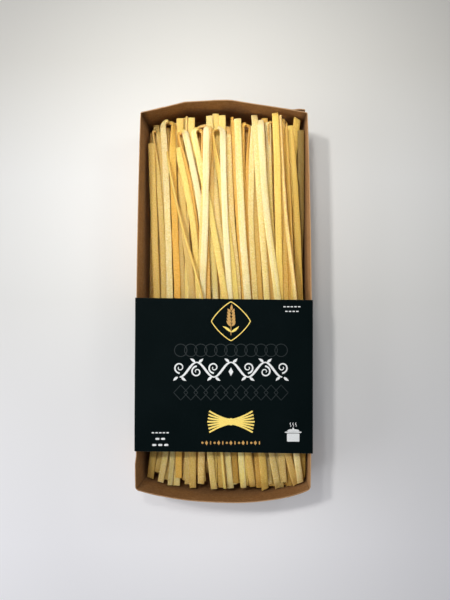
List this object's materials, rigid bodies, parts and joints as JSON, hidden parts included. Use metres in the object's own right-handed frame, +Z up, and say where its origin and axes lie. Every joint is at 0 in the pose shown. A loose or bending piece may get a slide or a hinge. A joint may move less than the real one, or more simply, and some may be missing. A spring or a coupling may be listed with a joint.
{
  "type": "tray pack of long dried tagliatelle with a paper sleeve",
  "caption": "Open kraft paperboard tray filled with long flat pasta strands, some bent double at one end, with a black paper sleeve around the lower half.",
  "frame": {"origin": "middle of the pack's footprint, on the surface it lies on", "axes": "+Z up, out of the tray's open top; +Y along the tray, towards the end that the sleeve leaves open; +X across the tray"},
  "size_m": [0.1312, 0.298, 0.0367],
  "materials": {
    "kraft_board": "uncoated kraft, finely fibrous",
    "black_paper": "smooth, slightly satin",
    "pasta": "dry, floury and slightly grainy"
  },
  "bodies": {
    "root": {"tray": "kraft_board", "sleeve": "black_paper", "pasta": "pasta"}
  },
  "joints": []
}
